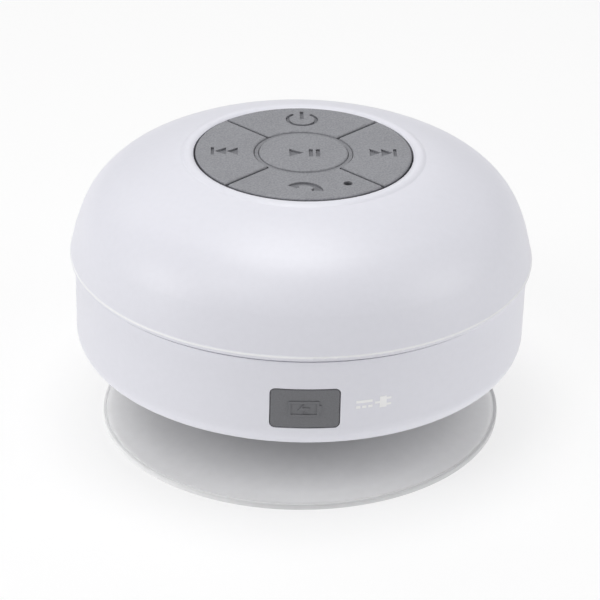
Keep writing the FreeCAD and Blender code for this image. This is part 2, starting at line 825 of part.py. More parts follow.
def microphone():
    piece = new_body("microphone")
    raised(piece, d.board_z, d.board_z + 1.6, circles=[(MIC_SPOT, d.mic_r)])
    sunk(piece, d.board_z + 1.3, d.board_z + 1.6, circles=[(MIC_SPOT, 0.5)])
    boot_r = d.mic_r + 0.5
    top = d.flange_z + 0.1
    turned(new_body("microphone_boot"), [
        (d.mic_r + 0.05, d.board_z), (boot_r, d.board_z), (boot_r, top), (0.6, top),
        (0.6, d.board_z + 1.8), (d.mic_r + 0.05, d.board_z + 1.8)], MIC_SPOT)


def board_parts():
    """What is soldered under the key board, and the light on top of it."""
    under = d.board_z - d.board_thick
    group_of_boxes("radio_chip", under - 0.9, under, [(-7, 7, 6, 6)])
    amplifier = group_of_boxes("amplifier_chip", under - 1.5, under - 0.1, [(9, 6, 5, 3.9)])
    for side in (-1, 1):
        legs = [box_outline(7.1 + 1.27 * i, 6 + 2.4 * side, 0.45, 0.9) for i in range(4)]
        raised(amplifier, under - 0.5, under, legs)
    crystal = new_body("crystal")
    raised(crystal, under - 0.8, under, [round_box(-7, 1, 3.2, 2.5, 0.4)])
    cans = new_body("board_capacitors")
    raised(cans, under - 0.5, under, [box_outline(-18, y, 4.3, 4.3) for y in (-11, 11)])
    raised(cans, under - 2.8, under - 0.5, circles=[((-18, y), 2.0) for y in (-11, 11)])
    group_of_boxes("board_resistors", under - 0.5, under,
                   [(x, -7, 0.8, 1.6) for x in (-9, -6, -3, 0, 3, 6, 9)])
    inductor = new_body("inductor")
    raised(inductor, under - 2.2, under, [round_box(16, 6, 5, 5, 1.0)])
    group_of_boxes("status_light", d.board_z, d.board_z + 0.6, [(d.mic_x + 3.6, -d.mic_y, 1.6, 0.8)])
    group_of_boxes("lead_connectors", d.connector_z, under, [
        (-d.lead_x, 0, 3.6, 5), (d.lead_x, 0, 3.6, 5), (0, -d.lead_y, 9, 3.6)])
    group_of_boxes("charge_chip", d.charge_z, d.charge_z + 1.0, [(0, -30.2, 2.9, 1.6)])


# ---------------------------------------------------------------- battery

def battery():
    top = d.tray_z + d.tray_thick
    tray = new_body("battery_tray")
    raised(tray, d.tray_z, top, circles=[((0, 0), 35.0)])
    sunk(tray, d.tray_z, top, circles=at_each(CASE_SPOTS, d.case_boss_r + 0.6))
    sunk(tray, d.tray_z, top, circles=at_each(POST_SPOTS, d.screw_r + 0.1))
    sunk(tray, d.tray_z, top, [round_box(-d.lead_x, 0, 4, 7, 1),
                               round_box(0, -d.lead_y, 10, 4, 1)])
    raised(tray, top, top + 2, [box_outline(0, 0, d.cell_l + 5.6, d.cell_w + 2.8),
                                box_outline(0, 0, d.cell_l + 3.6, d.cell_w + 0.8)])
    group_of_boxes("battery_tape", top, d.cell_z, [(0, 0, d.cell_l - 5, d.cell_w - 5)])
    cell = new_body("battery_cell")
    sketch = new_sketch(cell, "YZ_Plane", (0, 0, -d.cell_l * 0.5))
    draw(sketch, round_box(0, d.cell_z + d.cell_h * 0.5, d.cell_w, d.cell_h, 2))
    feature(cell, "Pad", sketch, Length=d.cell_l)
    group_of_boxes("battery_board", d.cell_z + 1, d.cell_z + 4,
                   [(d.cell_l * 0.5 + 0.6, 0, 0.8, 20)])


def all_leads():
    lead_z = d.cell_z + 2.8
    leads("battery_leads", [[(d.cell_l * 0.5 + 1.0, y, lead_z), (d.lead_x, y, lead_z),
                             (d.lead_x, y, d.connector_z)] for y in (-1.2, 1.2)], 2.0)
    leads("speaker_leads", [[(-21.2, y, 22.5), (-d.lead_x, y, 22.5),
                             (-d.lead_x, y, d.connector_z)] for y in (-1.8, 1.8)], 1.8)
    leads("charge_leads", [[(x, -27, d.charge_z), (x, -27, 28), (x, -d.lead_y, 34),
                            (x, -d.lead_y, d.connector_z)] for x in (-3, -1, 1, 3)], 6)


# ---------------------------------------------------------------- driver

def driver_frame():
    flange = d.gasket_z + d.flange_thick
    basket = new_body("driver_basket")
    turned(basket, [
        (17.9, d.gasket_z), (d.driver_r, d.gasket_z), (d.driver_r, flange), (18.7, flange),
        (18.7, 20.2), (14.2, 26.4), (14.2, d.plate_z), (7.7, d.plate_z), (7.7, 26.4),
        (13.5, 26.4), (17.6, 20.6), (16.6, 20.6), (16.6, 20.0), (17.9, 20.0)])
    sunk(basket, 21.2, 25.8, [box_outline(16 * x, 16 * y, 8 + 4 * abs(y), 8 + 4 * abs(x))
                              for x, y in ((1, 0), (-1, 0), (0, 1), (0, -1))])
    turned(new_body("driver_plate"), [
        (d.gap_r, d.plate_z), (d.plate_r, d.plate_z), (d.plate_r, d.magnet_z),
        (d.gap_r, d.magnet_z)])
    turned(new_body("driver_magnet"), [
        (8.6, d.magnet_z), (d.magnet_r, d.magnet_z), (d.magnet_r, d.yoke_z), (8.6, d.yoke_z)])
    turned(new_body("driver_yoke"), [
        (0, 27.3), (d.pole_r, 27.3), (d.pole_r, d.yoke_z), (d.plate_r, d.yoke_z),
        (d.plate_r, d.yoke_top - 0.5), (d.plate_r - 0.5, d.yoke_top), (0, d.yoke_top)])
    strip = new_body("terminal_strip")
    raised(strip, flange, 24.5, [box_outline(-19.3, 0, 0.8, 9)])
    raised(strip, 22.0, 23.0, [box_outline(-20.45, y, 1.5, 1.2) for y in (-1.8, 1.8)])


def driver_cone():
    """What moves with the voice coil, and the two parts that flex beside it."""
    thick = 0.35
    turned(new_body("cone"), [
        (d.cone_r - 0.9, d.cone_z), (d.cone_r, d.cone_z), (d.cone_r, d.cone_z + thick),
        (d.cone_r - 0.7, d.cone_z + thick), (6.95, d.neck_z + thick), (6.6, d.neck_z + thick),
        (6.6, d.neck_z)])
    turned(new_body("dust_cap"), [
        (0, 22.6), Bend(16), (7.0, 24.2), (7.0, 24.5), Bend(15.7, -1), (0, 22.9)])
    turned(new_body("coil_former"), [
        (d.former_r, d.neck_z + 0.4), (d.former_r + 0.15, d.neck_z + 0.4),
        (d.former_r + 0.15, 31.5), (d.former_r, 31.5)])
    turned(new_body("voice_coil"), [
        (d.former_r + 0.17, 26.6), (d.coil_r, 26.6), (d.coil_r, 31.2), (d.former_r + 0.17, 31.2)])
    turned(new_body("surround"), [
        (14.0, 19.65), (15.0, 19.65), Bend(0.95), (16.7, 19.65), (17.8, 19.65), (17.8, 19.95),
        (16.5, 19.95), Bend(0.75, -1), (15.2, 19.95), (14.0, 19.95)])
    wave_r = [7.0, 8.0, 9.0, 10.0, 11.0, 12.0, 13.3]
    wave_z = [25.5, 26.0, 25.5, 26.0, 25.5, 26.05, 26.05]
    lower = list(zip(wave_r, wave_z))
    upper = [(r, z + 0.25) for r, z in reversed(lower)]
    turned(new_body("spider"), lower + upper)


def water_stops():
    turned(new_body("speaker_mesh"), [
        (8.0, d.floor_z), (18.5, d.floor_z), (18.5, d.mesh_z), (8.0, d.mesh_z)])
    turned(new_body("driver_gasket"), [
        (17.9, d.mesh_z), (19.8, d.mesh_z), (19.8, d.gasket_z), (17.9, d.gasket_z)])


# ---------------------------------------------------------------- suction cup

def suction_cup():
    flat, hollow = d.cup_flat, d.cup_hollow
    dish_r = (flat * flat + hollow * hollow) / (hollow * 2)
    slack = 0.1
    pocket_r, neck_r = d.stud_head_r + slack, d.stud_neck_r + slack
    turned(new_body("suction_cup"), [
        (0, hollow), Bend(dish_r, -1), (flat, 0), (d.cup_r, 0), (d.cup_r, d.rim_h - 0.1),
        Bend(0.1), (d.cup_r - 0.1, d.rim_h), (d.cup_r - 0.42, d.rim_h),
        (d.cup_r - 0.52, d.rim_h - 0.1), (d.cup_r - 0.7, d.rim_h - 0.1),
        (d.cup_r - 0.9, d.rim_h + 0.15), Bend(d.cup_skirt_r, -1), (d.hub_r, d.hub_z - 1.0),
        (d.hub_r - 1.0, d.hub_z), (neck_r, d.hub_z), (neck_r, 10.3), (pocket_r, 10.3),
        (pocket_r, d.stud_head_z - slack), (0, d.stud_head_z - slack)])


def cup_stud():
    low = d.hub_z + 0.05
    turned(new_body("cup_stud"), [
        (0, d.stud_head_z), (d.stud_head_r, d.stud_head_z), (d.stud_head_r, 10.2),
        (d.stud_neck_r, 10.2), (d.stud_neck_r, low), (d.stud_flange_r, low),
        (d.stud_flange_r, low + 0.5), (d.stud_plug_r, low + 0.5), (d.stud_plug_r, 13.9),
        (4.0, 13.9), (4.0, 15.3), (d.stud_plug_r, 15.3), (d.stud_plug_r, d.stud_plug_z),
        (0, d.stud_plug_z)])
    ring = new_body("stud_ring")
    sketch = new_sketch(ring, "XZ_Plane")
    draw_circle(sketch, (4.38, 14.6), 0.37)
    made = feature(ring, "Revolution", sketch, Angle=360)
    made.ReferenceAxis = (sketch, ["V_Axis"])


# ---------------------------------------------------------------- build and write

def build():
    top_shell()
    bottom_shell()
    shell_seal()
    screws("case_screws", CASE_SPOTS, d.case_head_z, d.case_tip, d.screw_r, d.case_head_r, 1.6)
    port_cover()
    cover_strap()
    charge_board()
    charging_socket()
    keypad_web()
    keys()
    keypad_frame()
    key_board()
    key_switches()
    microphone()
    board_parts()
    under = d.board_z - d.board_thick
    screws("board_screws", BOARD_SPOTS, under, d.board_z + 2.4, d.screw_r, 1.9, 1.2)
    battery()
    screws("tray_screws", POST_SPOTS, d.tray_z + d.tray_thick, d.tray_z - 6, d.screw_r, 1.9, 1.2)
    driver_frame()
    driver_cone()
    water_stops()
    screws("driver_screws", DRIVER_SPOTS, d.gasket_z + d.flange_thick, d.floor_z,
           d.small_screw_r, 2.3, 1.0)
    all_leads()
    suction_cup()
    cup_stud()
    doc.recompute()


def check():
    for item in doc.Objects:
        if "Invalid" in item.State or "Error" in item.State:
            raise RuntimeError("%s did not recompute: %s" % (item.Name, item.State))
    for piece in pieces:
        if piece.Shape.isNull() or not piece.Shape.isValid() or not piece.Shape.Solids:
            raise RuntimeError("%s has no valid solid" % piece.Label)


def write():
    os.makedirs("parts", exist_ok=True)
    for piece in pieces:
        piece.Shape.exportStep("parts/%s.step" % piece.Label)
        box = piece.Shape.BoundBox
        print("%-18s %2d solids %9.2f mm3  z %6.2f to %6.2f" % (
            piece.Label, len(piece.Shape.Solids), piece.Shape.Volume, box.ZMin, box.ZMax))
    print(len(pieces), "pieces")


build()
check()
write()
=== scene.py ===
import json
import math

import bmesh
import bpy
from mathutils import Matrix, Vector


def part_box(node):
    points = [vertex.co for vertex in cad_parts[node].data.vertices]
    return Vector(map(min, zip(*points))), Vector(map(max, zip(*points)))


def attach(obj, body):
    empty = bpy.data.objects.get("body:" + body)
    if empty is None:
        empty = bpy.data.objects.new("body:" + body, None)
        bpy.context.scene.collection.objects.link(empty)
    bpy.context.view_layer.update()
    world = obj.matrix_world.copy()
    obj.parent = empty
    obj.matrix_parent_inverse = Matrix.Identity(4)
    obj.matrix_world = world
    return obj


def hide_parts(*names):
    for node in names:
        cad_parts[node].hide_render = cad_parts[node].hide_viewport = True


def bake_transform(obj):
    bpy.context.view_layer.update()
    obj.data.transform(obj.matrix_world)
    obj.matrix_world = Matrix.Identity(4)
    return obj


# Shower speaker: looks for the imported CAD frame. Metres, +Z up, port cover towards -Y.

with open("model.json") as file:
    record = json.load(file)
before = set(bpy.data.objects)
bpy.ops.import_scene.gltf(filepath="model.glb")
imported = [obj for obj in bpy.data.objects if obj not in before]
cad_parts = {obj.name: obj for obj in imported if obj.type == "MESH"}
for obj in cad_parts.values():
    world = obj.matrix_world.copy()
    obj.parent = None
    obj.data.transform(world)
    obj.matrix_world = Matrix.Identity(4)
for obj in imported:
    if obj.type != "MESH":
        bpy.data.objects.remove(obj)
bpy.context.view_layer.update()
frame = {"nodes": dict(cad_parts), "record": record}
MM = 0.001
LEAN = 0.0186                # how much the speaker leans on its soft cup, rise per run
LEAN_SHIFT = 0.5             # the rim sits this far to the right of the hub, millimetres
SINK = 0.1                   # how far the rim settles, millimetres
SLOT_OF = {part["node"]: part["material_slot"] for part in frame["record"]["subparts"]}


# ---------------------------------------------------------------- camera, light, floor

def make_camera():
    """The viewing angle: slightly to the left of the port cover, looking down at 27 degrees."""
    azimuth, elevation, roll = (math.radians(a) for a in (-1.8, 27.28, 1.37))
    distance, drop = 536.4 * MM, 4.52 * MM
    back = Vector((math.sin(azimuth) * math.cos(elevation),
                   -math.cos(azimuth) * math.cos(elevation), math.sin(elevation)))
    right = Vector((math.cos(azimuth), math.sin(azimuth), 0))
    up = back.cross(right)
    target = Vector((0, 0, 28 * MM))
    data = bpy.data.cameras.new("camera")
    data.sensor_width = 36
    data.lens = 171.7
    data.clip_start = 0.01
    camera = bpy.data.objects.new("camera", data)
    bpy.context.scene.collection.objects.link(camera)
    aim = back * distance + up * drop
    tilted_back = aim.normalized()
    tilted_up = tilted_back.cross(right)
    rolled_right = right * math.cos(roll) + tilted_up * math.sin(roll)
    rolled_up = tilted_up * math.cos(roll) - right * math.sin(roll)
    turn = Matrix((rolled_right, rolled_up, tilted_back)).transposed().to_4x4()
    camera.matrix_world = Matrix.Translation(target + back * distance) @ turn
    bpy.context.scene.camera = camera


def area_light(name, place, aim, size, power):
    """A round soft lamp that faces a point; metres and watts."""
    data = bpy.data.lights.new(name, "AREA")
    data.shape = "DISK"
    data.size = size
    data.energy = power
    light = bpy.data.objects.new(name, data)
    bpy.context.scene.collection.objects.link(light)
    light.location = place
    light.rotation_euler = (Vector(aim) - Vector(place)).to_track_quat("-Z", "Y").to_euler()


def make_light():
    """Soft lamps all round; the world is dim as a light but pale where the camera sees it."""
    scene = bpy.context.scene
    scene.view_settings.view_transform = "Standard"
    world = bpy.data.worlds.new("studio")
    world.use_nodes = True
    background = world.node_tree.nodes["Background"]
    background.inputs["Color"].default_value = (1, 1, 1, 1)
    background.inputs["Strength"].default_value = 0.15
    backdrop = world.node_tree.nodes.new("ShaderNodeBackground")
    backdrop.inputs["Strength"].default_value = 0.76
    seen = world.node_tree.nodes.new("ShaderNodeLightPath")
    choice = world.node_tree.nodes.new("ShaderNodeMixShader")
    links = world.node_tree.links
    links.new(seen.outputs["Is Camera Ray"], choice.inputs[0])
    links.new(background.outputs[0], choice.inputs[1])
    links.new(backdrop.outputs[0], choice.inputs[2])
    links.new(choice.outputs[0], world.node_tree.nodes["World Output"].inputs["Surface"])
    scene.world = world
    area_light("top", (-0.03, 0, 0.6), (0, 0, 0), 0.35, 1.6)
    area_light("left", (-0.9, -0.25, 0.35), (0, 0, 0.03), 0.5, 2.3)
    area_light("right", (0.9, -0.25, 0.35), (0, 0, 0.03), 0.5, 1.85)
    area_light("right_high", (0.5, -0.2, 0.45), (0.03, 0, 0), 0.4, 0.2)
    area_light("front_left", (-0.5, -0.6, 0.8), (0, 0, 0.03), 0.5, 1.55)
    area_light("back_left", (-0.5, 0.5, 0.7), (0, 0, 0), 0.6, 0.75)
    area_light("back", (0.05, 0.8, 0.5), (0, 0, 0.03), 0.6, 0.7)


def make_floor():
    """Plain paper that leans with the cup's rim; it glows a little, so it stays nearly white."""
    mesh = bpy.data.meshes.new("floor")
    size = 6.0
    corners = [(-size, -size), (size, -size), (size, size), (-size, size)]
    mesh.from_pydata([(x, y, x * LEAN - SINK * MM) for x, y in corners], [], [(0, 1, 2, 3)])
    floor = bpy.data.objects.new("floor", mesh)
    bpy.context.scene.collection.objects.link(floor)
    material = bpy.data.materials.new("floor_paper")
    material.use_nodes = True
    shader = material.node_tree.nodes["Principled BSDF"]
    shader.inputs["Base Color"].default_value = (0.3, 0.3, 0.3, 1)
    shader.inputs["Roughness"].default_value = 0.9
    shader.inputs["Specular IOR Level"].default_value = 0.1
    shader.inputs["Emission Color"].default_value = (1, 1, 1, 1)
    shader.inputs["Emission Strength"].default_value = 0.71
    mesh.materials.append(material)


# ---------------------------------------------------------------- materials

def new_material(name, colour, roughness, **settings):
    """A material and its shader, with what is the same all over set on the shader itself."""
    material = bpy.data.materials.new(name)
    material.use_nodes = True
    shader = material.node_tree.nodes["Principled BSDF"]
    shader.inputs["Base Color"].default_value = (*colour, 1)
    shader.inputs["Roughness"].default_value = roughness
    for key, value in settings.items():
        shader.inputs[key.replace("_", " ")].default_value = value
    return material, shader


def add_node(material, kind, **inputs):
    """A shader node with some of its inputs set; an underscore stands for a space."""
    node = material.node_tree.nodes.new("ShaderNode" + kind)
    for key, value in inputs.items():
        node.inputs[key.replace("_", " ")].default_value = value
    return node


def link(material, source, target):
    material.node_tree.links.new(source, target)


def place(material, stretch=(1, 1, 1)):
    """Points in the piece's own space, in metres times stretch."""
    mapping = add_node(material, "Mapping", Scale=stretch)
    link(material, add_node(material, "TexCoord").outputs["Object"], mapping.inputs["Vector"])
    return mapping.outputs["Vector"]


def noise(material, scale, detail=2.0, stretch=(1, 1, 1)):
    """Cloudy noise; scale is in turns per metre."""
    texture = add_node(material, "TexNoise", Scale=scale, Detail=detail)
    link(material, place(material, stretch), texture.inputs["Vector"])
    return texture.outputs["Fac"]


def waves(material, scale, direction):
    """Even bands across one direction; scale is close to turns per metre."""
    texture = add_node(material, "TexWave", Scale=scale / 6.2832 * 2, Distortion=0.3)
    texture.bands_direction = direction
    link(material, place(material), texture.inputs["Vector"])
    return texture.outputs["Fac"]


def cells(material, scale, feature="F1"):
    """Distance within a net of irregular cells; scale is in cells per metre."""
    texture = add_node(material, "TexVoronoi", Scale=scale)
    texture.feature = feature
    link(material, place(material), texture.inputs["Vector"])
    return texture.outputs["Distance"]


def combine(material, operation, first, second):
    """A sum on two values, each a number or another node's output."""
    node = material.node_tree.nodes.new("ShaderNodeMath")
    node.operation = operation
    for socket, value in zip(node.inputs, (first, second)):
        if isinstance(value, (int, float)):
            socket.default_value = value
        else:
            link(material, value, socket)
    return node.outputs[0]


def blend_colour(material, factor, low, high, start=0.3, end=0.7):
    """Two colours, spread over part of a factor's range."""
    node = add_node(material, "ValToRGB")
    node.color_ramp.elements[0].position = start
    node.color_ramp.elements[1].position = end
    node.color_ramp.elements[0].color = (*low, 1)
    node.color_ramp.elements[1].color = (*high, 1)
    link(material, factor, node.inputs["Fac"])
    return node.outputs["Color"]


def scaled(colour, share):
    """A lighter or darker version of a colour."""
    return [min(1.0, c * share) for c in colour]


def speckle(material, shader, colour, spread, scale):
    """Vary the base colour by a share either way."""
    result = blend_colour(material, noise(material, scale), scaled(colour, 1 - spread),
                          scaled(colour, 1 + spread))
    link(material, result, shader.inputs["Base Color"])
    return result


def relief(material, shader, height, depth):
    """Raise the surface by a height factor times depth, in metres."""
    bump = add_node(material, "Bump", Strength=1.0, Distance=depth)
    link(material, height, bump.inputs["Height"])
    link(material, bump.outputs["Normal"], shader.inputs["Normal"])


def vary_roughness(material, shader, low, high, factor):
    """Spread the roughness between two values by a factor."""
    node = add_node(material, "MapRange", To_Min=low, To_Max=high)
    link(material, factor, node.inputs["Value"])
    link(material, node.outputs["Result"], shader.inputs["Roughness"])


def moulded(name, colour, roughness, spread=0.03, mottle=900, grain=5000, depth=4e-6,
            **settings):
    """Moulded plastic or rubber: faint mottle, fine grain, uneven gloss."""
    material, shader = new_material(name, colour, roughness, **settings)
    speckle(material, shader, colour, spread, mottle)
    relief(material, shader, noise(material, grain), depth)
    vary_roughness(material, shader, roughness * 0.88, min(1, roughness * 1.12),
                   noise(material, mottle * 2))
    return material


def height_share(material, low, high):
    """0 below one height and 1 above another, in millimetres."""
    split = add_node(material, "SeparateXYZ")
    link(material, place(material), split.inputs["Vector"])
    node = add_node(material, "MapRange", From_Min=low * MM, From_Max=high * MM)
    link(material, split.outputs["Z"], node.inputs["Value"])
    return node.outputs["Result"]


def multiply_colour(material, first, second):
    """One colour times another; sockets 6, 7 and 2 are the Mix node's colour ones."""
    node = material.node_tree.nodes.new("ShaderNodeMix")
    node.data_type = "RGBA"
    node.blend_type = "MULTIPLY"
    node.inputs[0].default_value = 1.0
    link(material, first, node.inputs[6])
    link(material, second, node.inputs[7])
    return node.outputs[2]


def shell_plastic(name, colour, roughness):
    """Satin white shell, with a painted highlight along the lip's edge and painted shade down in the
    seam.
    """
    material, shader = new_material(name, colour, roughness)
    # Painted highlight and painted shade: this ramp lifts the base colour in a band along the lip's
    # edge and darkens it down towards the seam.
    painted_highlight_and_shade = add_node(material, "ValToRGB")
    seam_z, crease_z = 32.8, 34.6
    link(material, height_share(material, seam_z, crease_z), painted_highlight_and_shade.inputs["Fac"])
    elements = painted_highlight_and_shade.color_ramp.elements
    for end in elements:
        end.color = (*colour, 1)
    for position, share in ((0.2, 0.8), (0.45, 0.92), (0.6, 1.0), (0.74, 1.19), (0.88, 1.0)):
        elements.new(position).color = (*scaled(colour, share), 1)
    mottle = blend_colour(material, noise(material, 900), (0.985, 0.985, 0.985), (1, 1, 1))
    link(material, multiply_colour(material, painted_highlight_and_shade.outputs["Color"], mottle),
         shader.inputs["Base Color"])
    relief(material, shader, noise(material, 3800), 2.5e-6)
    vary_roughness(material, shader, roughness * 0.88, roughness * 1.12, noise(material, 1800))
    return material


def key_rubber(name, colour, roughness):
    """Matt silicone with a fine speckle, with painted shade making it dull and darker down in the
    icons and grooves.
    """
    material, shader = new_material(name, colour, roughness, Specular_IOR_Level=0.35)
    fine = speckle(material, shader, colour, 0.16, 3000)
    groove_z, rim_z = 53.05, 53.4
    # Painted shade: the base colour darkens with depth, down in the icons and grooves.
    painted_shade = blend_colour(material, height_share(material, groove_z, rim_z), (0.5, 0.5, 0.51),
                         (1, 1, 1), 0.0, 1.0)
    broad = blend_colour(material, noise(material, 110, 3), (0.93, 0.93, 0.93), (1, 1, 1))
    both = multiply_colour(material, painted_shade, broad)
    link(material, multiply_colour(material, fine, both), shader.inputs["Base Color"])
    relief(material, shader, noise(material, 4200), 1.1e-5)
    vary_roughness(material, shader, roughness * 0.9, roughness * 1.1, noise(material, 900))
    return material


def cup_plastic(name, colour, roughness):
    """Frosted soft plastic: painted shadow of the body makes it greyer at the hub, pale towards the
    rim, with a darker outer wall.
    """
    material, shader = new_material(name, colour, roughness, Transmission_Weight=0.34, IOR=1.4,
                                    Specular_IOR_Level=0.4)
    hub_r, rim_r, wall_low_r, wall_high_r = 22, 37, 37.2, 37.55
    radius = add_node(material, "VectorMath")
    radius.operation = "LENGTH"
    link(material, place(material), radius.inputs[0])
    across = add_node(material, "MapRange", From_Min=hub_r * MM, From_Max=rim_r * MM)
    link(material, radius.outputs["Value"], across.inputs["Value"])
    # Painted shadow: the base colour is greyer towards the hub, where the body's shadow falls on the
    # cup.
    painted_shade = blend_colour(material, across.outputs["Result"], scaled(colour, 0.48), colour, 0.0,
                         0.84)
    edge = add_node(material, "MapRange", From_Min=wall_low_r * MM, From_Max=wall_high_r * MM)
    link(material, radius.outputs["Value"], edge.inputs["Value"])
    wall = blend_colour(material, edge.outputs["Result"], (1, 1, 1), (0.7, 0.7, 0.71), 0.0, 1.0)
    cloud = blend_colour(material, noise(material, 500, 4), (0.965, 0.965, 0.965), (1, 1, 1))
    both = multiply_colour(material, wall, cloud)
    link(material, multiply_colour(material, painted_shade, both), shader.inputs["Base Color"])
    relief(material, shader, noise(material, 2600, 3), 9e-6)
    vary_roughness(material, shader, roughness * 0.85, roughness * 1.1, noise(material, 350))
    return material


def brushed(name, colour, roughness, stretch=(1, 1, 18), **settings):
    """Metal with fine drawn lines."""
    material, shader = new_material(name, colour, roughness, Metallic=1.0, **settings)
    lines = noise(material, 900, 4, stretch)
    link(material, blend_colour(material, lines, scaled(colour, 0.82), scaled(colour, 1.1)),
         shader.inputs["Base Color"])
    relief(material, shader, lines, 3e-6)
    vary_roughness(material, shader, roughness * 0.7, roughness * 1.5, noise(material, 300, 3))
    return material


def woven(name, colour, roughness, threads, depth):
    """Cloth of crossed threads; threads is how many per metre."""
    material, shader = new_material(name, colour, roughness, Specular_IOR_Level=0.25)
    height = combine(material, "MAXIMUM", waves(material, threads, "X"),
                     waves(material, threads, "Y"))
    uneven = noise(material, threads / 6, 3)
    mixed = combine(material, "MULTIPLY", height, uneven)
    link(material, blend_colour(material, mixed, scaled(colour, 0.45), scaled(colour, 1.3), 0.1, 0.6),
         shader.inputs["Base Color"])
    relief(material, shader, height, depth)
    vary_roughness(material, shader, roughness * 0.85, min(1.0, roughness * 1.1), uneven)
    return material


def wound_wire(name, colour, roughness):
    """Enamelled wire laid in turns round the former."""
    material, shader = new_material(name, colour, roughness, Metallic=1.0, Coat_Weight=0.4)
    turns = waves(material, 6500, "Z")
    link(material, blend_colour(material, turns, scaled(colour, 0.35), scaled(colour, 1.15)),
         shader.inputs["Base Color"])
    relief(material, shader, turns, 4e-5)
    vary_roughness(material, shader, roughness * 0.8, roughness * 1.4, noise(material, 800))
    return material


def circuit(name, colour, roughness):
    """Green solder mask over raised tracks."""
    material, shader = new_material(name, colour, roughness, Coat_Weight=0.3)
    tracks = combine(material, "LESS_THAN", cells(material, 420, "DISTANCE_TO_EDGE"), 0.07)
    ground = blend_colour(material, noise(material, 250, 3), scaled(colour, 0.85),
                          scaled(colour, 1.1))
    lines = blend_colour(material, tracks, (0.75, 0.75, 0.75), (1.0, 1.0, 1.0), 0.0, 1.0)
    link(material, multiply_colour(material, ground, lines), shader.inputs["Base Color"])
    relief(material, shader, tracks, 3.5e-5)
    vary_roughness(material, shader, roughness * 0.8, roughness * 1.3, noise(material, 700))
    return material


def foamed(name, colour, roughness, scale=1800, depth=6e-5):
    """Foam or pressed fibre with open cells in the skin."""
    material, shader = new_material(name, colour, roughness, Specular_IOR_Level=0.25)
    pores = cells(material, scale)
    link(material, blend_colour(material, pores, scaled(colour, 0.6), scaled(colour, 1.25), 0.1, 0.7),
         shader.inputs["Base Color"])
    relief(material, shader, pores, depth)
    vary_roughness(material, shader, roughness * 0.9, 1.0, noise(material, scale / 4))
    return material


def pressed_paper(name, colour, roughness):
    """Paper fibres lying every way."""
    material, shader = new_material(name, colour, roughness, Specular_IOR_Level=0.2)
    fibres = combine(material, "MAXIMUM", noise(material, 1300, 5, (1, 6, 1)),
                     noise(material, 1300, 5, (6, 1, 1)))
    link(material, blend_colour(material, fibres, scaled(colour, 0.6), scaled(colour, 1.7), 0.4, 0.8),
         shader.inputs["Base Color"])
    relief(material, shader, fibres, 4e-5)
    vary_roughness(material, shader, roughness * 0.9, 1.0, fibres)
    return material


def crinkled_foil(name, colour, roughness):
    """The laminated pouch of a cell, with soft dents."""
    material, shader = new_material(name, colour, roughness, Metallic=0.9)
    dents = noise(material, 160, 5)
    link(material, blend_colour(material, dents, scaled(colour, 0.85), scaled(colour, 1.08)),
         shader.inputs["Base Color"])
    relief(material, shader, dents, 1.5e-4)
    vary_roughness(material, shader, roughness * 0.7, roughness * 1.5, noise(material, 900, 3))
    return material


def make_materials():
    """One material for each slot, plainly moulded ones first."""
    plain = {
        "seal_grey": dict(colour=(0.2, 0.2, 0.21), roughness=0.7),
        "cover_grey": dict(colour=(0.172, 0.174, 0.186), roughness=0.58, spread=0.08,
                           mottle=4200, depth=9e-6),
        "print_white": dict(colour=(1.0, 1.0, 1.0), roughness=0.3, spread=0.01),
        "white_nylon": dict(colour=(0.75, 0.75, 0.72), roughness=0.45, spread=0.04, mottle=300,
                            depth=8e-6),
        "black_plastic": dict(colour=(0.03, 0.03, 0.033), roughness=0.4, spread=0.15),
        "chip_black": dict(colour=(0.025, 0.025, 0.027), roughness=0.55, spread=0.25,
                           mottle=6000, depth=1.2e-5),
        "ferrite": dict(colour=(0.06, 0.06, 0.065), roughness=0.6, spread=0.35, mottle=3500,
                        grain=2500, depth=2e-5),
        "surround_foam": dict(colour=(0.04, 0.04, 0.045), roughness=0.6, spread=0.1),
        "tape_white": dict(colour=(0.8, 0.8, 0.77), roughness=0.8, spread=0.05, grain=2500,
                           depth=1.5e-5),
        "wire_red": dict(colour=(0.5, 0.03, 0.03), roughness=0.35, spread=0.08, depth=8e-6),
        "wire_black": dict(colour=(0.03, 0.03, 0.03), roughness=0.35, spread=0.1, depth=8e-6),
        "light_lens": dict(colour=(0.8, 0.85, 0.95), roughness=0.15, spread=0.02),
    }
    made = {name: moulded(name, **finish) for name, finish in plain.items()}
    made["shell_white"] = shell_plastic("shell_white", (0.835, 0.835, 0.9), 0.4)
    made["key_grey"] = key_rubber("key_grey", (0.305, 0.308, 0.33), 0.62)
    made["cup_clear"] = cup_plastic("cup_clear", (1.0, 1.0, 1.0), 0.5)
    made["steel"] = brushed("steel", (0.55, 0.55, 0.56), 0.3)
    made["can_metal"] = brushed("can_metal", (0.75, 0.75, 0.77), 0.25, (6, 6, 1))
    made["copper"] = wound_wire("copper", (0.65, 0.30, 0.15), 0.3)
    made["cone_paper"] = pressed_paper("cone_paper", (0.05, 0.05, 0.055), 0.8)
    made["spider_cloth"] = woven("spider_cloth", (0.6, 0.45, 0.2), 0.8, 2200, 6e-5)
    made["mesh_cloth"] = woven("mesh_cloth", (0.16, 0.16, 0.17), 0.75, 2600, 5e-5)
    made["foam_black"] = foamed("foam_black", (0.05, 0.05, 0.05), 0.85)
    made["cell_foil"] = crinkled_foil("cell_foil", (0.7, 0.71, 0.73), 0.3)
    made["board_green"] = circuit("board_green", (0.03, 0.14, 0.06), 0.3)
    return made


def dress_cad_nodes(materials):
    """Give each CAD node the material of its slot."""
    for name, node in frame["nodes"].items():
        node.data.materials.clear()
        node.data.materials.append(materials[SLOT_OF[name]])


# ---------------------------------------------------------------- mesh helpers

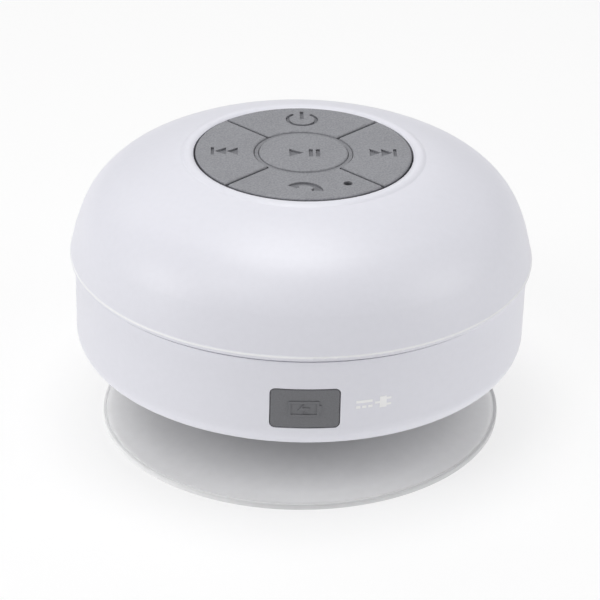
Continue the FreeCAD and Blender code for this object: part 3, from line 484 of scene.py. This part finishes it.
def rounded(corners, steps=6):
    """A closed outline of (x, y, radius) corners as points, each corner turned into an arc."""
    points = []
    count = len(corners)
    for i, (x, y, radius) in enumerate(corners):
        corner = Vector((x, y))
        into = (corner - Vector(corners[i - 1][:2])).normalized()
        out = (Vector(corners[(i + 1) % count][:2]) - corner).normalized()
        turn = math.acos(max(-1.0, min(1.0, into.dot(out))))
        if radius == 0 or turn < 1e-3:
            points.append(corner)
            continue
        reach = radius * math.tan(turn / 2)
        inward = (out - into).normalized()
        centre = corner + inward * (radius / math.cos(turn / 2))
        start = corner - into * reach - centre
        side = 1 if into.cross(out) > 0 else -1
        for k in range(steps + 1):
            angle = side * turn * k / steps
            points.append(centre + Matrix.Rotation(angle, 2) @ start)
    return points


def arc(start, end, radius, side, steps):
    """Points along an arc from start to end; side 1 has its centre to the left of travel."""
    start, end = Vector(start), Vector(end)
    chord = end - start
    height = math.sqrt(radius ** 2 - (chord.length / 2) ** 2)
    centre = (start + end) / 2 + Vector((-chord.y, chord.x)).normalized() * height * side
    turn = side * 2 * math.asin(chord.length / 2 / radius)
    return [centre + Matrix.Rotation(turn * k / steps, 2) @ (start - centre)
            for k in range(steps + 1)]


def finish_mesh(build, name, sharp=35):
    """Close up a bmesh: outward faces, smooth shading, hard edges only where it turns sharply."""
    bmesh.ops.recalc_face_normals(build, faces=build.faces)
    mesh = bpy.data.meshes.new(name)
    build.to_mesh(mesh)
    build.free()
    mesh.shade_smooth()
    mesh.set_sharp_from_angle(angle=math.radians(sharp))
    return mesh


def lathe(name, outline, segments=192, sharp=35):
    """A closed solid of revolution about Z from (r, z) points in millimetres."""
    build = bmesh.new()
    rings = []
    for r, z in outline:
        if r < 1e-4:
            rings.append([build.verts.new((0, 0, z * MM))] * segments)
            continue
        ring = []
        for k in range(segments):
            angle = 2 * math.pi * k / segments
            ring.append(build.verts.new((r * math.cos(angle) * MM, r * math.sin(angle) * MM,
                                         z * MM)))
        rings.append(ring)
    ends_on_axis = outline[0][0] < 1e-4 and outline[-1][0] < 1e-4
    pairs = list(zip(rings, rings[1:]))
    if not ends_on_axis:
        pairs.append((rings[-1], rings[0]))
    for low, high in pairs:
        for k in range(segments):
            after = (k + 1) % segments
            corners = []
            for vert in (low[k], low[after], high[after], high[k]):
                if vert not in corners:
                    corners.append(vert)
            if len(corners) > 2:
                build.faces.new(corners)
    return finish_mesh(build, name, sharp)


def add_piece(name, mesh, body, slot, replaced=()):
    """Put a mesh into the scene as a piece that rides on a body."""
    piece = bpy.data.objects.new(name, mesh)
    bpy.context.scene.collection.objects.link(piece)
    mesh.materials.append(MATERIALS[slot])
    if body:
        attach(piece, body)
    if replaced:
        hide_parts(*replaced)
    return piece


# ---------------------------------------------------------------- suction cup

def lean(mesh):
    """Bend the skirt between hub and rim, so that its rim lies on the leaning floor."""
    stiff_r, soft_r = 13.0, 31.0
    for vert in mesh.vertices:
        radius = math.hypot(vert.co.x, vert.co.y) / MM
        share = max(0.0, min(1.0, (radius - stiff_r) / (soft_r - stiff_r)))
        share = share * share * (3 - 2 * share)
        vert.co.z += (LEAN * vert.co.x - SINK * MM) * share
        vert.co.x += LEAN_SHIFT * MM * share


def make_suction_cup():
    """A soft disc: hollow below, a concave skirt above, and a narrow upright rim."""
    rim, flat, hollow, hub, skirt_r = 37.62, 36.0, 7.0, 12.5, 90
    neck, head = 3.1, 5.1
    dish = (flat * flat + hollow * hollow) / (hollow * 2)
    below = arc((0, hollow), (flat, 0.0), dish, -1, 36)
    edge = rounded([(flat, 0.0, 0), (rim, 0.0, 0.08), (rim, 0.95, 0.14), (rim - 0.42, 0.98, 0.1),
                    (rim - 0.5, 0.84, 0.05), (rim - 0.68, 0.86, 0.06), (rim - 0.74, 1.04, 0.1),
                    (30, 3.0, 0)], 4)[1:-1]
    skirt = arc((rim - 0.9, 1.12), (hub, 11.0), skirt_r, -1, 40)
    pocket = rounded([(hub, 11.0, 0), (hub - 0.2, 12.0, 0.6), (neck, 12.0, 0.15),
                      (neck, 10.3, 0.1), (head, 10.3, 0), (head, 8.6, 0), (0, 8.6, 0)], 5)[1:]
    outline = [(point[0], point[1]) for point in below + edge + skirt + pocket]
    mesh = lathe("cup_skirt", outline, 240)
    lean(mesh)
    add_piece("cup_skirt", mesh, "cup_body", "cup_clear", ["suction_cup"])


# ---------------------------------------------------------------- port cover strap

def make_strap():
    """A soft ribbon from a barb behind the port block to the back of the cover."""
    low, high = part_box("cover_strap")
    middle = (low.z + high.z) / 2
    half_wide, half_thick = 1.25 * MM, 0.22 * MM
    back_y, front_y = high.y, low.y - 0.05 * MM
    x_of = (high.x - 0.05 * MM) - half_thick
    bulge, barb = 0.15 * MM, 1.25
    build = bmesh.new()
    rings = []
    steps, sides = 28, 16
    turns = [2 * math.pi * (i + 0.5) / sides for i in range(sides)]
    for k in range(steps + 1):
        share = k / steps
        y = back_y + (front_y - back_y) * share
        x = x_of + bulge * math.sin(share * math.pi)
        swell = 1.0 if 0.08 < share < 0.9 else barb
        section = [(half_thick * swell * math.copysign(abs(math.cos(a)) ** 0.5, math.cos(a)),
                    half_wide * math.copysign(abs(math.sin(a)) ** 0.35, math.sin(a)))
                   for a in turns]
        rings.append([build.verts.new((x + dx, y, middle + dz)) for dx, dz in section])
    for near, far in zip(rings, rings[1:]):
        for i in range(sides):
            after = (i + 1) % sides
            build.faces.new((near[i], near[after], far[after], far[i]))
    build.faces.new(rings[0])
    build.faces.new(rings[-1])
    piece = add_piece("strap_ribbon", finish_mesh(build, "strap_ribbon", 60), None,
                      "cover_grey", ["cover_strap"])
    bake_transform(piece)


# ---------------------------------------------------------------- microphone felt

def make_felt():
    """The thin black felt on top of the microphone, seen through the hole in the call key."""
    low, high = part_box("microphone")
    felt_r, thick, sunk, bevel = (high.x - low.x) / 2 / MM - 0.3, 0.03, 0.05, 0.15
    top = high.z / MM
    outline = [(0, top - sunk), (felt_r, top - sunk), (felt_r, top + thick * 0.5),
               (felt_r - bevel, top + thick), (0, top + thick)]
    mesh = lathe("mic_felt", outline, 48)
    middle = (low + high) / 2
    for vert in mesh.vertices:
        vert.co.x += middle.x
        vert.co.y += middle.y
    add_piece("mic_felt", mesh, "housing", "foam_black")


# ---------------------------------------------------------------- printed mark

def band_radius(z):
    """The band tapers a little downwards; z in millimetres."""
    low_r, low_z, top_r, top_z = 41.95, 19.0, 42.05, 32.75
    return low_r + (top_r - low_r) * (z - low_z) / (top_z - low_z)


def print_stroke(build, x, z, width, height):
    """One printed bar: a thin slab wrapped on the band; x is measured along the band."""
    spacing = 0.25
    columns = max(2, int(width / spacing) + 1)
    layers = []
    for lift in (-0.03, 0.025):
        rows = []
        for row in (-0.5, 0.5):
            line = []
            for k in range(columns):
                along = x + width * (k / (columns - 1) - 0.5)
                level = z + height * row
                radius = band_radius(level) + lift
                angle = along / radius
                line.append(build.verts.new((radius * math.sin(angle) * MM,
                                             -radius * math.cos(angle) * MM, level * MM)))
            rows.append(line)
        layers.append(rows)
    (a, b), (c, d) = layers
    for k in range(columns - 1):
        build.faces.new((a[k], a[k + 1], b[k + 1], b[k]))
        build.faces.new((c[k], c[k + 1], d[k + 1], d[k]))
        build.faces.new((a[k], a[k + 1], c[k + 1], c[k]))
        build.faces.new((b[k], b[k + 1], d[k + 1], d[k]))
    for k in (0, columns - 1):
        build.faces.new((a[k], b[k], d[k], c[k]))


def make_mark():
    """The direct-current symbol, a bar over three dashes, and a plug pictogram beside it."""
    build = bmesh.new()
    start, z, bar, dash = 10.6, 23.75, 3.0, 0.76
    plug, reach, pin, fine = start + 3.5, 1.1, 0.9, 0.4
    print_stroke(build, start, z + 0.55, bar, 0.5)
    for k in (-1, 0, 1):
        print_stroke(build, start + k * (bar - dash) / 2, z - 0.5, dash, 0.5)
    print_stroke(build, plug - reach, z, pin, fine)
    print_stroke(build, plug, z, 1.3, 2.2)
    for side in (-1, 1):
        print_stroke(build, plug + reach, z + 0.6 * side, pin, fine)
    add_piece("port_mark", finish_mesh(build, "port_mark"), "housing", "print_white")


# ---------------------------------------------------------------- the scene

make_camera()
make_light()
make_floor()
MATERIALS = make_materials()
dress_cad_nodes(MATERIALS)
make_suction_cup()
make_strap()
make_felt()
make_mark()
